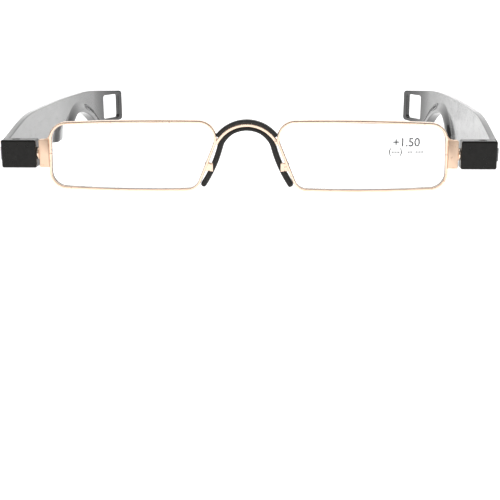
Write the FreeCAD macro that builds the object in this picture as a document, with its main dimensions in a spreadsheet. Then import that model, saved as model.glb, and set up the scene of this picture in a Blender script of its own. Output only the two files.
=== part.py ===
import FreeCAD, Part
import math
import os

import Sketcher

# Folding reading glasses, in millimetres. Seen from the front +X is to the right, +Y runs
# back along the open temples and +Z is up; right and left in the names are as seen from the
# front. The origin is the middle of the nose opening, on the lens plane and on the lenses'
# horizontal centre line.
# Each temple hangs on a block that turns half a turn about X on a screw in the frame's end
# tab, and folds about an upright pin in the block. Both axes cross in the lens plane.

doc = FreeCAD.newDocument("folding_reading_glasses")

SIZES = {
    # rims and lenses
    "rim_nose_x": 8.1, "rim_outer_x": 54.6, "rim_half_height": 9.7, "rim_depth": 2.0,
    "rim_wire": 0.75, "rim_corner": 5.0, "rim_groove": 0.3, "rim_bow": 0.75, "rim_slit": 0.2,
    "rim_top_nose_in": 2.2, "rim_top_nose_drop": 0.2, "rim_low_nose_out": 5.6,
    "rim_low_nose_drop": 0.1, "rim_low_outer_out": 0.5, "rim_low_outer_drop": -0.55,
    "rim_low_bow": 0.3, "rim_nose_corner": 5.0, "rim_low_corner": 4.8, "rim_low_nose_corner": 4.2,
    "lens_thick": 2.2, "lens_front_radius": 230, "lens_gap": 0.05, "bevel_width": 0.7,
    # bridge, its cover and the nose saddle
    "bridge_top": 8.9, "bridge_wire_high": 1.05, "bridge_radius": 9.9, "bridge_depth": 1.6,
    "bridge_turn": 64.0, "cover_turn": 52.0, "saddle_gap": 0.03,
    "cover_high": 0.95, "cover_depth": 2.4, "saddle_band": 1.0, "saddle_depth": 3.6,
    "leg_width": 1.6, "leg_end_x": 12.1, "leg_end_z": -7.9, "leg_top_x": 7.1, "leg_top_z": 3.4,
    "leg_bend": 0.6, "saddle_front": -0.9, "saddle_side_gap": 0.02,
    "tab_pad_top": -1.9, "tab_pad_low": -4.3, "tab_pad_deep": 1.0, "tab_pad_front": -0.7,
    "tab_pad_start": 1.2,
    # end tabs, rim locks and the swivel
    "axis_high": 0.5, "tab_outer_x": 57.5, "tab_high": 7.6, "tab_depth": 2.6, "lock_radius": 0.95,
    "tab_lap": 1.2, "web_lap": 1.4, "web_high": 2.0, "web_reach": 1.6, "web_sag_x": 0.2,
    "web_sag_z": 0.45, "web_depth": 1.8,
    "lock_high": 2.9, "lock_out": 0.7, "screw_core": 0.5, "screw_head": 0.8,
    "screw_head_thick": 0.45, "screw_short": 0.2, "screw_slot_wide": 0.25, "screw_slot_deep": 0.2,
    "swivel_radius": 0.75, "swivel_lap": 0.1,
    "collar_radius": 1.75, "collar_long": 0.5, "swivel_head_radius": 1.45, "swivel_head_long": 0.9,
    "washer_thick": 0.3, "run_gap": 0.03, "turn_gap": 0.15,
    # hinge blocks and their pins
    "block_inner_x": 58.15, "block_outer_x": 67.8, "block_high": 7.7, "block_depth": 4.6,
    "block_round": 0.5, "pin_x": 64.0, "pin_radius": 0.6, "pin_head_radius": 1.1,
    "pin_head_thick": 0.5, "pin_below": 0.3, "knuckle_radius": 1.3, "knuckle_high": 3.7,
    "slot_high": 4.0, "slot_inner_x": 62.4, "front_wall": 0.75, "cavity_radius": 1.6,
    "cavity_start_x": 59.15,
    # temples
    "leaf_thick": 1.8, "leaf_offset": 3.5, "leaf_start": 2.65, "root_half": 3.7, "leaf_half": 7.8,
    "tip_half": 5.6, "widen_to": 34.0, "narrow_from": 98.0,
    "run_one": 60.0, "run_two": 46.0, "run_three": 21.2, "swell_rise": 1.5,
    "swell_short": 0.2, "taper_run": 11.0, "taper_back": 13.0, "taper_rise": 0.8,
    "turn_start": -2.5, "turn_mid": 0.0, "turn_rear": 8.0, "turn_tip": 36.0,
    "notch_y": 87.5, "notch_top": 1.2, "notch_front": 10.5, "notch_rear": 34.0, "lip_thick": 1.5,
    "crease_y": 89.5, "crease_top": 5.0, "crease_front": 20.5, "crease_rear": 36.0,
    "window_long": 9.8, "window_half": 4.6, "end_bar": 2.1, "window_corner": 1.0,
    "window_turn": 4.0, "elbow_round": 0.9,
    "rib_wide": 0.55, "rib_pitch": 1.2, "rib_first": 0.7, "rib_sink": 0.04, "rib_short": 0.3,
    # pen clip on the right temple
    "clip_start": 8.0, "clip_foot": 6.0, "clip_tongue": 40.0, "clip_wide": 4.2, "clip_thick": 0.8,
    "clip_lift": 1.3, "clip_gap": 0.02, "clip_bend": 3.0, "clip_split": 0.15,
    "clip_bend_in": 0.1, "clip_bend_out": 0.05, "clip_end": 2.0, "clip_end_round": 0.8,
    "bead_radius": 0.75, "bead_in": 0.25, "bead_back": 1.6,
    "rivet_radius": 0.6, "rivet_head": 1.1, "rivet_proud": 0.35, "rivet_share": 0.45,
    "rivet_base": 0.1, "rivet_round": 0.2,
}


# How far a cutting tool reaches past what it cuts, how near counts as the same place, and
# the volume in cubic millimetres below which a cut-off scrap isn't a part.
BEYOND = 10.0
CLOSE = 1e-4
SMALL = 0.3
# A temple tool starts well inside the leaf, at this X, and runs out this far across it.
INSIDE = 30.0
ACROSS = 60.0


def make_sheet():
    """The spreadsheet that holds every driving dimension, one aliased cell each."""
    table = doc.addObject("Spreadsheet::Sheet", "sizes")
    for row, (name, value) in enumerate(SIZES.items(), 1):
        table.set(f"A{row}", name)
        table.set(f"B{row}", str(value))
        table.setAlias(f"B{row}", name)
    doc.recompute()
    return table


sheet = make_sheet()
pieces = []


def size(name):
    """A driving dimension read back from the sheet."""
    return float(sheet.get(name))


def keep(piece, label):
    """Names a finished sub-part and adds it to the list that is written out."""
    piece.Label = label
    pieces.append(piece)
    return piece


def bind(target, **expressions):
    """Ties an object's properties to cells of the sheet; words like sizes.rim_depth."""
    for prop, text in expressions.items():
        target.setExpression(prop.replace("__", "."), text)


def feature(label, shape):
    """A sub-part whose shape is made with Part's own functions from the sheet's sizes."""
    piece = doc.addObject("Part::Feature", label)
    piece.Shape = shape
    piece.Placement = FreeCAD.Placement()
    return keep(piece, label)


def vec(x, y, z):
    return FreeCAD.Vector(x, y, z)


def wire_of(points):
    """A closed wire through (point) and (middle, point) entries: a pair bends as an arc."""
    edges = []
    start = points[0]
    for step in points[1:]:
        if isinstance(step, tuple):
            edges.append(Part.Arc(start, step[0], step[1]).toShape())
            start = step[1]
        else:
            edges.append(Part.LineSegment(start, step).toShape())
            start = step
    return Part.Wire(edges)


def mirrored(shape, side):
    """The right-hand shape itself, or its mirror image for the left-hand side."""
    return shape if side > 0 else shape.mirror(vec(0, 0, 0), vec(1, 0, 0))


def rounded_outline(inset):
    """The right rim's outline at y = 0, moved in by inset from its outer edge.

    Top and bottom bow gently; the nose side slants; each corner is a tangent arc.
    """
    nose = size("rim_nose_x")
    outer = size("rim_outer_x")
    half = size("rim_half_height")
    bow = size("rim_bow")
    mid = (nose + outer) / 2
    top_nose = vec(nose - size("rim_top_nose_in"), 0, half - size("rim_top_nose_drop"))
    top_outer = vec(outer, 0, half - bow)
    low_outer = vec(outer + size("rim_low_outer_out"), 0, -half - size("rim_low_outer_drop"))
    low_nose = vec(nose + size("rim_low_nose_out"), 0, -half - size("rim_low_nose_drop"))
    sides = [
        Part.Arc(top_nose, vec(mid, 0, half), top_outer).toShape(),
        Part.LineSegment(top_outer, low_outer).toShape(),
        Part.Arc(low_outer, vec(mid, 0, -half - size("rim_low_bow")), low_nose).toShape(),
        Part.LineSegment(low_nose, top_nose).toShape(),
    ]
    plate = Part.Face(Part.Wire(sides)).extrude(vec(0, BEYOND, 0))
    corners = ((top_nose, "rim_nose_corner"), (top_outer, "rim_corner"),
               (low_outer, "rim_low_corner"), (low_nose, "rim_low_nose_corner"))
    for at, name in corners:
        uprights = [
            edge for edge in plate.Edges
            if all(abs(v.X - at.x) + abs(v.Z - at.z) < CLOSE for v in edge.Vertexes)
        ]
        plate = plate.makeFillet(size(name), uprights)
    face = min(plate.Faces, key=lambda f: f.CenterOfMass.y)
    if inset == 0:
        return face
    return Part.Face(face.OuterWire.makeOffset2D(-inset))


def slab(face, front, back):
    """A face in the XZ plane, thickened from y = front to y = back."""
    moved = face.copy()
    moved.translate(vec(0, front - face.BoundBox.YMin, 0))
    return moved.extrude(vec(0, back - front, 0))


def make_rim(side, name):
    """A grooved wire rim, slit at the outer side where the lock closes it round the lens."""
    half = size("rim_depth") / 2
    groove = size("bevel_width") / 2 + size("lens_gap")
    wire = size("rim_wire")
    ring = slab(rounded_outline(0), -half, half)
    ring = ring.cut(slab(rounded_outline(wire), -BEYOND, BEYOND))
    ring = ring.cut(slab(rounded_outline(wire - size("rim_groove")), -groove, groove))
    slit = Part.makeBox(BEYOND, 2 * BEYOND, size("rim_slit"))
    slit.translate(vec(size("rim_outer_x") - BEYOND / 2, -BEYOND,
                       size("axis_high") - size("rim_slit") / 2))
    feature(f"rim_{name}", mirrored(ring.cut(slit), side))


def make_lens(side, name):
    """A reading lens: convex front, flat back, and a bevelled tongue that sits in the rim."""
    gap = size("lens_gap")
    wire = size("rim_wire")
    thick = size("lens_thick")
    radius = size("lens_front_radius")
    tongue = size("bevel_width") / 2
    body = slab(rounded_outline(wire + gap), -thick / 2, thick / 2)
    middle = (size("rim_nose_x") + size("rim_outer_x")) / 2
    ball = Part.makeSphere(radius, vec(middle, radius - thick / 2, 0))
    body = body.common(ball)
    edge = slab(rounded_outline(wire - size("rim_groove") + gap), -tongue, tongue)
    feature(f"lens_{name}", mirrored(body.fuse(edge).removeSplitter(), side))


def arch_band(low_z, high_z, low_radius, end_angle, depth, front):
    """A flat band bent over the nose: two arcs about one centre, ended on radial lines."""
    centre = low_z - low_radius
    high_radius = high_z - centre

    def at(radius, angle):
        turn = math.radians(angle)
        return vec(radius * math.sin(turn), 0, centre + radius * math.cos(turn))

    wire = wire_of([
        at(low_radius, -end_angle), (at(low_radius, 0), at(low_radius, end_angle)),
        at(high_radius, end_angle), (at(high_radius, 0), at(high_radius, -end_angle)),
        at(low_radius, -end_angle),
    ])
    return slab(Part.Face(wire), front, front + depth)


def bridge_band(gap):
    """The bridge wire before it is fitted to the rims, thicker below by a gap."""
    top = size("bridge_top")
    high = size("bridge_wire_high") + gap
    depth = size("bridge_depth") + 2 * gap
    radius = size("bridge_radius") - high
    return arch_band(top - high, top, radius, size("bridge_turn"), depth, -depth / 2)


def make_bridge():
    """The gold bridge wire, and the black strip that covers its top."""
    top = size("bridge_top")
    radius = size("bridge_radius")
    bar = bridge_band(0)
    rims = [slab(rounded_outline(0), -BEYOND, BEYOND)]
    rims.append(mirrored(rims[0], -1))
    for rim in rims:
        bar = bar.cut(rim)
    bar = max(bar.Solids, key=lambda s: s.Volume)
    feature("bridge_wire", bar)
    deep = size("cover_depth")
    cover = arch_band(top, top + size("cover_high"), radius, size("cover_turn"), deep, -deep / 2)
    for rim in rims:
        cover = cover.cut(rim)
    cover = max(cover.Solids, key=lambda s: s.Volume)
    feature("bridge_cover", cover)


def saddle_profile():
    """The saddle's outline: a band under the bridge that runs down into two splayed legs."""
    top = size("bridge_top") - size("bridge_wire_high")
    radius = size("bridge_radius") - size("bridge_wire_high")
    band = size("saddle_band")
    wide = size("leg_width")
    top_x = size("leg_top_x")
    top_z = size("leg_top_z")
    end_x = size("leg_end_x")
    end_z = size("leg_end_z")
    slope = math.atan2(end_x - top_x, top_z - end_z)
    across = vec(math.cos(slope), 0, math.sin(slope)) * (wide / 2)
    hip = vec(top_x, 0, top_z)
    foot = vec(end_x, 0, end_z)
    down = vec(math.sin(slope), 0, -math.cos(slope)) * (wide / 2)
    knee = (hip + foot) * 0.5 - across * (size("leg_bend") / (wide / 2))
    shoulder_turn = math.asin(min(1.0, (hip + across).x / radius))
    shoulder = vec((hip + across).x, 0, top - radius + radius * math.cos(shoulder_turn))

    def flip(point):
        return vec(-point.x, 0, point.z)

    inner = hip - across
    inner_radius = (inner.x**2 + (top - band - inner.z) ** 2) / (2 * (top - band - inner.z))
    inner_turn = math.asin(min(1.0, inner.x / inner_radius)) / 2
    inner_mid = vec(inner_radius * math.sin(inner_turn), 0,
                    top - band - inner_radius * (1 - math.cos(inner_turn)))
    return wire_of([
        vec(0, 0, top),
        (vec(shoulder.x / 2, 0, top - radius + math.sqrt(radius**2 - shoulder.x**2 / 4)), shoulder),
        hip + across, (knee + across, foot + across), (foot + down, foot - across),
        (knee - across, hip - across), (inner_mid, vec(0, 0, top - band)),
        (flip(inner_mid), flip(hip - across)), (flip(knee - across), flip(foot - across)),
        (flip(foot + down), flip(foot + across)), (flip(knee + across), flip(hip + across)),
        flip(shoulder),
        (vec(-shoulder.x / 2, 0, top - radius + math.sqrt(radius**2 - shoulder.x**2 / 4)),
         vec(0, 0, top)),
    ])


def make_saddle():
    """The soft black nose saddle, and the two gold tabs that tie its legs to the rims."""
    depth = size("saddle_depth")
    front = size("saddle_front")
    solid = slab(Part.Face(saddle_profile()), front, front + depth)
    solid = solid.cut(bridge_band(size("saddle_gap")))
    rim = slab(rounded_outline(-size("saddle_side_gap")), -BEYOND, BEYOND)
    for side in (1, -1):
        solid = solid.cut(mirrored(rim, side))
    solid = max(solid.Solids, key=lambda s: s.Volume)
    feature("nose_saddle", solid)
    for side, name in ((1, "right"), (-1, "left")):
        tab_low = size("tab_pad_low")
        tab = Part.makeBox(BEYOND / 2, size("tab_pad_deep"), size("tab_pad_top") - tab_low)
        start = size("leg_top_x") + size("tab_pad_start")
        tab.translate(vec(start, size("tab_pad_front"), tab_low))
        tab = tab.cut(slab(rounded_outline(0), -BEYOND, BEYOND))
        tab = mirrored(tab, side).cut(solid)
        tab = max(tab.Solids, key=lambda s: abs(s.CenterOfMass.x) * (s.Volume > SMALL))
        feature(f"pad_tab_{name}", tab)


def make_end_tab(side, name):
    """The flat gold end tab brazed to the rim, with a web that curves up to the corner."""
    inner = size("rim_outer_x")
    outer = size("tab_outer_x")
    high = size("tab_high")
    depth = size("tab_depth")
    mid = size("axis_high")
    lap = size("tab_lap")
    top = mid + high / 2
    web_x = inner - size("web_lap")
    web_top = vec(web_x, 0, top + size("web_high"))
    plate = Part.makeBox(outer - inner + lap, depth, high)
    plate.translate(vec(inner - lap, -depth / 2, mid - high / 2))
    web = wire_of([
        web_top,
        (vec(inner + size("web_sag_x"), 0, top + size("web_sag_z")),
         vec(inner + size("web_reach"), 0, top)),
        vec(web_x, 0, top), web_top,
    ])
    web_half = size("web_depth") / 2
    plate = plate.fuse(slab(Part.Face(web), -web_half, web_half))
    plate = plate.cut(slab(rounded_outline(0), -BEYOND, BEYOND))
    plate = max(plate.Solids, key=lambda s: s.Volume)
    bore = Part.makeCylinder(size("swivel_radius"), BEYOND, vec(inner - lap, 0, mid), vec(1, 0, 0))
    feature(f"end_tab_{name}", mirrored(plate.cut(bore).removeSplitter(), side))


def make_rim_lock(side, name):
    """Two little barrels behind the tab, one on each side of the rim's slit, and their screw."""
    radius = size("lock_radius")
    high = size("lock_high")
    core = size("screw_core")
    mid = size("axis_high")
    x = size("rim_outer_x") + size("lock_out")
    y = size("tab_depth") / 2 + radius
    gap = size("rim_slit") / 2
    head = size("screw_head")
    thick = size("screw_head_thick")
    low_end = mid - gap - high
    for part_name, low in (("upper", mid + gap), ("lower", mid - gap - high)):
        barrel = Part.makeCylinder(radius, high, vec(x, y, low))
        barrel = barrel.cut(Part.makeCylinder(core, 2 * BEYOND, vec(x, y, low - BEYOND)))
        feature(f"rim_lock_{part_name}_{name}", mirrored(barrel, side))
    screw = Part.makeCylinder(core, 2 * (high + gap) - size("screw_short"), vec(x, y, low_end))
    screw = screw.fuse(Part.makeCylinder(head, thick, vec(x, y, low_end - thick)))
    slot_wide = size("screw_slot_wide")
    slot = Part.makeBox(slot_wide, 2 * head, size("screw_slot_deep"))
    slot.translate(vec(x - slot_wide / 2, y - head, low_end - thick))
    feature(f"rim_screw_{name}", mirrored(screw.cut(slot).removeSplitter(), side))


def along_x(label, base_x, radius, length, cut_radius=None):
    """A turned ring or disc on a swivel axis, from Part primitives bound to the sheet."""
    disc = doc.addObject("Part::Cylinder", f"{label}_disc")
    bind(disc, Radius=radius, Height=length)
    turned = FreeCAD.Rotation(vec(0, 1, 0), 90)
    disc.Placement = FreeCAD.Placement(vec(0, 0, 0), turned)
    bind(disc, Placement__Base__x=base_x, Placement__Base__z="sizes.axis_high")
    if cut_radius is None:
        return disc
    hole = doc.addObject("Part::Cylinder", f"{label}_hole")
    bind(hole, Radius=cut_radius, Height=f"{length} + 2")
    hole.Placement = FreeCAD.Placement(vec(0, 0, 0), turned)
    bind(hole, Placement__Base__x=f"{base_x} - 1", Placement__Base__z="sizes.axis_high")
    ring = doc.addObject("Part::Cut", label)
    ring.Base = disc
    ring.Tool = hole
    return ring


def make_swivel(side, name):
    """The collar, spring washer and shouldered screw that a hinge block turns on."""
    collar_x = "sizes.tab_outer_x" if side > 0 else "-sizes.tab_outer_x - sizes.collar_long"
    keep(along_x(f"swivel_collar_{name}", collar_x, "sizes.collar_radius", "sizes.collar_long",
                 "sizes.swivel_radius"), f"swivel_collar_{name}")
    seat = "sizes.cavity_start_x + sizes.turn_gap"
    washer_x = seat if side > 0 else f"-({seat}) - sizes.washer_thick"
    keep(along_x(f"swivel_washer_{name}", washer_x, "sizes.swivel_head_radius",
                 "sizes.washer_thick", "sizes.swivel_radius"), f"swivel_washer_{name}")
    under_head = f"{seat} + sizes.washer_thick"
    start = "(sizes.rim_outer_x + sizes.rim_low_outer_out + sizes.swivel_lap)"
    long = f"({under_head} - {start})"
    shank_x = start if side > 0 else f"-({under_head})"
    head_x = under_head if side > 0 else f"-({under_head}) - sizes.swivel_head_long"
    shank = along_x(f"swivel_shank_{name}", shank_x, "sizes.swivel_radius", long)
    head = along_x(f"swivel_head_{name}", head_x, "sizes.swivel_head_radius",
                   "sizes.swivel_head_long")
    screw = doc.addObject("Part::Fuse", f"swivel_screw_{name}")
    screw.Base = shank
    screw.Tool = head
    keep(screw, f"swivel_screw_{name}")


def plane_of(body, role):
    """One of a body's own origin planes, by its role."""
    return next(f for f in body.Origin.OriginFeatures if f.Role == role)


def rectangle(body, label, role, corners, offset="0"):
    """A rectangle sketch on an origin plane, its four edges placed from sheet expressions."""
    sketch = body.newObject("Sketcher::SketchObject", label)
    sketch.AttachmentSupport = [(plane_of(body, role), "")]
    sketch.MapMode = "FlatFace"
    sketch.setExpression("AttachmentOffset.Base.z", offset)
    ends = [vec(0, 0, 0), vec(2, 0, 0), vec(2, 2, 0), vec(0, 2, 0)]
    for n in range(4):
        sketch.addGeometry(Part.LineSegment(ends[n], ends[(n + 1) % 4]))
    for n in range(4):
        sketch.addConstraint(Sketcher.Constraint("Coincident", n, 2, (n + 1) % 4, 1))
    for n, kind in enumerate(("Horizontal", "Vertical", "Horizontal", "Vertical")):
        sketch.addConstraint(Sketcher.Constraint(kind, n))
    for axis, point in (("DistanceX", 0), ("DistanceY", 0), ("DistanceX", 2), ("DistanceY", 2)):
        first = 0 if point == 0 else 1
        place = 1 if first == 0 else 2
        sketch.addConstraint(Sketcher.Constraint(axis, -1, 1, first, place, 1.0))
    for n, expression in enumerate(corners):
        sketch.setExpression(f"Constraints[{8 + n}]", expression)
    return sketch


def circle(body, label, role, centre, radius, offset="0"):
    """A circle sketch on an origin plane, its centre and radius bound to the sheet."""
    sketch = body.newObject("Sketcher::SketchObject", label)
    sketch.AttachmentSupport = [(plane_of(body, role), "")]
    sketch.MapMode = "FlatFace"
    sketch.setExpression("AttachmentOffset.Base.z", offset)
    sketch.addGeometry(Part.Circle(vec(1, 1, 0), vec(0, 0, 1), 1.0))
    sketch.addConstraint(Sketcher.Constraint("DistanceX", -1, 1, 0, 3, 1.0))
    sketch.addConstraint(Sketcher.Constraint("DistanceY", -1, 1, 0, 3, 1.0))
    sketch.addConstraint(Sketcher.Constraint("Radius", 0, 1.0))
    for n, expression in enumerate((*centre, radius)):
        sketch.setExpression(f"Constraints[{n}]", expression)
    return sketch


def pocket(body, sketch, label, length):
    """A cut to both sides of its sketch, so that its direction can't matter."""
    before = body.Shape.Volume
    cut = body.newObject("PartDesign::Pocket", label)
    cut.Profile = sketch
    cut.Midplane = True
    cut.setExpression("Length", length)
    doc.recompute()
    if not cut.Shape.Volume < before - 1e-6:
        raise RuntimeError(f"{label} cut nothing")


def make_block(side, name):
    """A hinge block: slot for the knuckle, bore for the swivel screw, bore for the pin."""
    body = doc.addObject("PartDesign::Body", f"hinge_block_{name}")
    near = "sizes.block_inner_x"
    far = "sizes.block_outer_x"
    left, right = (near, far) if side > 0 else (f"-{far}", f"-{near}")
    back = "sizes.block_depth / 2"
    outline = rectangle(body, f"block_outline_{name}", "XY_Plane",
                        (left, f"-{back}", right, back), "sizes.axis_high")
    pad = body.newObject("PartDesign::Pad", f"block_pad_{name}")
    pad.Profile = outline
    pad.Midplane = True
    pad.setExpression("Length", "sizes.block_high")
    doc.recompute()
    rounds = body.newObject("PartDesign::Fillet", f"block_rounds_{name}")
    rounds.Base = (pad, [f"Edge{n + 1}" for n in range(len(pad.Shape.Edges))])
    rounds.setExpression("Radius", "sizes.block_round")
    doc.recompute()
    inner, outer = "sizes.slot_inner_x", "(sizes.block_outer_x + 2)"
    left, right = (inner, outer) if side > 0 else (f"-{outer}", f"-{inner}")
    slot = rectangle(body, f"slot_outline_{name}", "XY_Plane",
                     (left, f"sizes.front_wall - {back}", right, f"{back} + 2"), "sizes.axis_high")
    pocket(body, slot, f"knuckle_slot_{name}", "sizes.slot_high")
    sign = "" if side > 0 else "-"
    middle = f"{sign}(sizes.cavity_start_x + sizes.slot_inner_x) / 2"
    cavity = circle(body, f"cavity_outline_{name}", "YZ_Plane", ("0", "sizes.axis_high"),
                    "sizes.cavity_radius", middle)
    pocket(body, cavity, f"screw_cavity_{name}", "sizes.slot_inner_x - sizes.cavity_start_x")
    bore = circle(body, f"swivel_bore_outline_{name}", "YZ_Plane", ("0", "sizes.axis_high"),
                  "sizes.swivel_radius + sizes.run_gap", f"{sign}sizes.block_inner_x")
    pocket(body, bore, f"swivel_bore_{name}", "3")
    pin_at = (f"{sign}sizes.pin_x", "0")
    hole = circle(body, f"pin_bore_outline_{name}", "XY_Plane", pin_at, "sizes.pin_radius",
                  "sizes.axis_high")
    pocket(body, hole, f"pin_bore_{name}", "2 * sizes.block_high")
    recess = circle(body, f"head_recess_outline_{name}", "XY_Plane", pin_at,
                    "sizes.pin_head_radius", "sizes.axis_high + sizes.block_high / 2")
    pocket(body, recess, f"head_recess_{name}", "2 * sizes.pin_head_thick")
    keep(body, f"hinge_block_{name}")


def make_pin(side, name):
    """The upright hinge pin: a flat head flush in the block's top, its end peened below."""
    sign = "" if side > 0 else "-"
    shank = doc.addObject("Part::Cylinder", f"pin_shank_{name}")
    head = doc.addObject("Part::Cylinder", f"pin_head_{name}")
    top = "sizes.axis_high + sizes.block_high / 2"
    bind(shank, Radius="sizes.pin_radius",
         Height="sizes.block_high - sizes.pin_head_thick + sizes.pin_below")
    bind(head, Radius="sizes.pin_head_radius", Height="sizes.pin_head_thick")
    bind(shank, Placement__Base__x=f"{sign}sizes.pin_x",
         Placement__Base__z="sizes.axis_high - sizes.block_high / 2 - sizes.pin_below")
    bind(head, Placement__Base__x=f"{sign}sizes.pin_x",
         Placement__Base__z=f"{top} - sizes.pin_head_thick")
    pin = doc.addObject("Part::Fuse", f"hinge_pin_{name}")
    pin.Base = shank
    pin.Tool = head
    keep(pin, f"hinge_pin_{name}")


RUNS = (("run_one", "turn_mid"), ("run_two", "turn_rear"), ("run_three", "turn_tip"))


def leaf_stations():
    """The leaf's middle line in plan: where each run starts, and its turn from +Y, inward."""
    x = size("pin_x") + size("leaf_offset")
    y = size("leaf_start")
    stations = [(x, y, size("turn_start"))]
    for run, turn in RUNS:
        before = math.radians(stations[-1][2])
        after = math.radians(size(turn))
        radius = size(run) / (after - before)
        x -= radius * (math.cos(before) - math.cos(after))
        y += radius * (math.sin(after) - math.sin(before))
        stations.append((x, y, size(turn)))
    return stations


def leaf_plan(low, high):
    """A strip of the leaf's plan, between two distances outward from its middle line."""
    stations = leaf_stations()
    sides = []
    for out in (low, high):
        line = []
        for n, (x, y, turn) in enumerate(stations):
            angle = math.radians(turn)
            if n:
                bx, by, before = stations[n - 1]
                half = math.radians((turn + before) / 2)
                radius = size(RUNS[n - 1][0]) / math.radians(turn - before)
                start = math.radians(before)
                mx = bx - radius * (math.cos(start) - math.cos(half))
                my = by + radius * (math.sin(half) - math.sin(start))
                line.append(vec(mx + out * math.cos(half), my + out * math.sin(half), 0))
            line.append(vec(x + out * math.cos(angle), y + out * math.sin(angle), 0))
        sides.append(line)
    inner, outer = sides
    outer.reverse()
    wire = [inner[0]]
    wire += [(inner[n], inner[n + 1]) for n in (1, 3, 5)]
    wire.append(outer[0])
    wire += [(outer[n], outer[n + 1]) for n in (1, 3, 5)]
    wire.append(inner[0])
    return Part.Face(wire_of(wire))


def leaf_side():
    """The leaf's outline seen from the side, in the YZ plane at x = 0."""
    mid = size("axis_high")
    root = size("root_half")
    half = size("leaf_half")
    tip = size("tip_half")
    lead = size("leaf_start")
    start = lead - 1
    full = size("widen_to")
    narrow = size("narrow_from")
    end = leaf_stations()[-1][1] + 3
    rise = root + size("swell_rise")
    nearly = half - size("swell_short")
    before_tip = tip + size("taper_rise")

    def edge(sign):
        curve = Part.BezierCurve()
        curve.setPoles([
            vec(0, lead, mid + sign * root), vec(0, start + full / 3, mid + sign * rise),
            vec(0, start + full * 0.6, mid + sign * nearly), vec(0, full, mid + sign * half),
        ])
        taper = Part.BezierCurve()
        taper.setPoles([
            vec(0, narrow, mid + sign * half),
            vec(0, narrow + size("taper_run"), mid + sign * half),
            vec(0, end - size("taper_back"), mid + sign * before_tip),
            vec(0, end, mid + sign * tip),
        ])
        return curve.toShape(), taper.toShape()

    top, top_taper = edge(1)
    low, low_taper = edge(-1)
    lines = [
        (vec(0, start, mid - root), vec(0, start, mid + root)),
        (vec(0, start, mid + root), vec(0, lead, mid + root)),
        (vec(0, start, mid - root), vec(0, lead, mid - root)),
        (vec(0, full, mid + half), vec(0, narrow, mid + half)),
        (vec(0, full, mid - half), vec(0, narrow, mid - half)),
        (vec(0, end, mid - tip), vec(0, end, mid + tip)),
    ]
    edges = [Part.LineSegment(a, b).toShape() for a, b in lines]
    edges += [top, top_taper, low, low_taper]
    return Part.Face(Part.Wire(Part.__sortEdges__(edges)))


def arch_tool(name):
    """The solid under an ear arch: a steep round front limb and a long shallow rear one."""
    y = size(f"{name}_y")
    top = size("axis_high") + size(f"{name}_top")
    floor = size("axis_high") - size("leaf_half") - 2

    def limb(radius, sign):
        """The middle and far end of an arc that leaves the apex level."""
        drop = top - floor
        radius = max(radius, drop)
        turn = math.acos(max(-1.0, 1 - drop / radius))
        return [
            vec(INSIDE, y + sign * radius * math.sin(a), top - radius * (1 - math.cos(a)))
            for a in (turn / 2, turn)
        ]

    front_mid, front = limb(size(f"{name}_front"), -1)
    rear_mid, rear = limb(size(f"{name}_rear"), 1)
    apex = vec(INSIDE, y, top)
    face = Part.Face(wire_of([front, (front_mid, apex), (rear_mid, rear), front]))
    return face.extrude(vec(ACROSS, 0, 0))


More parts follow.
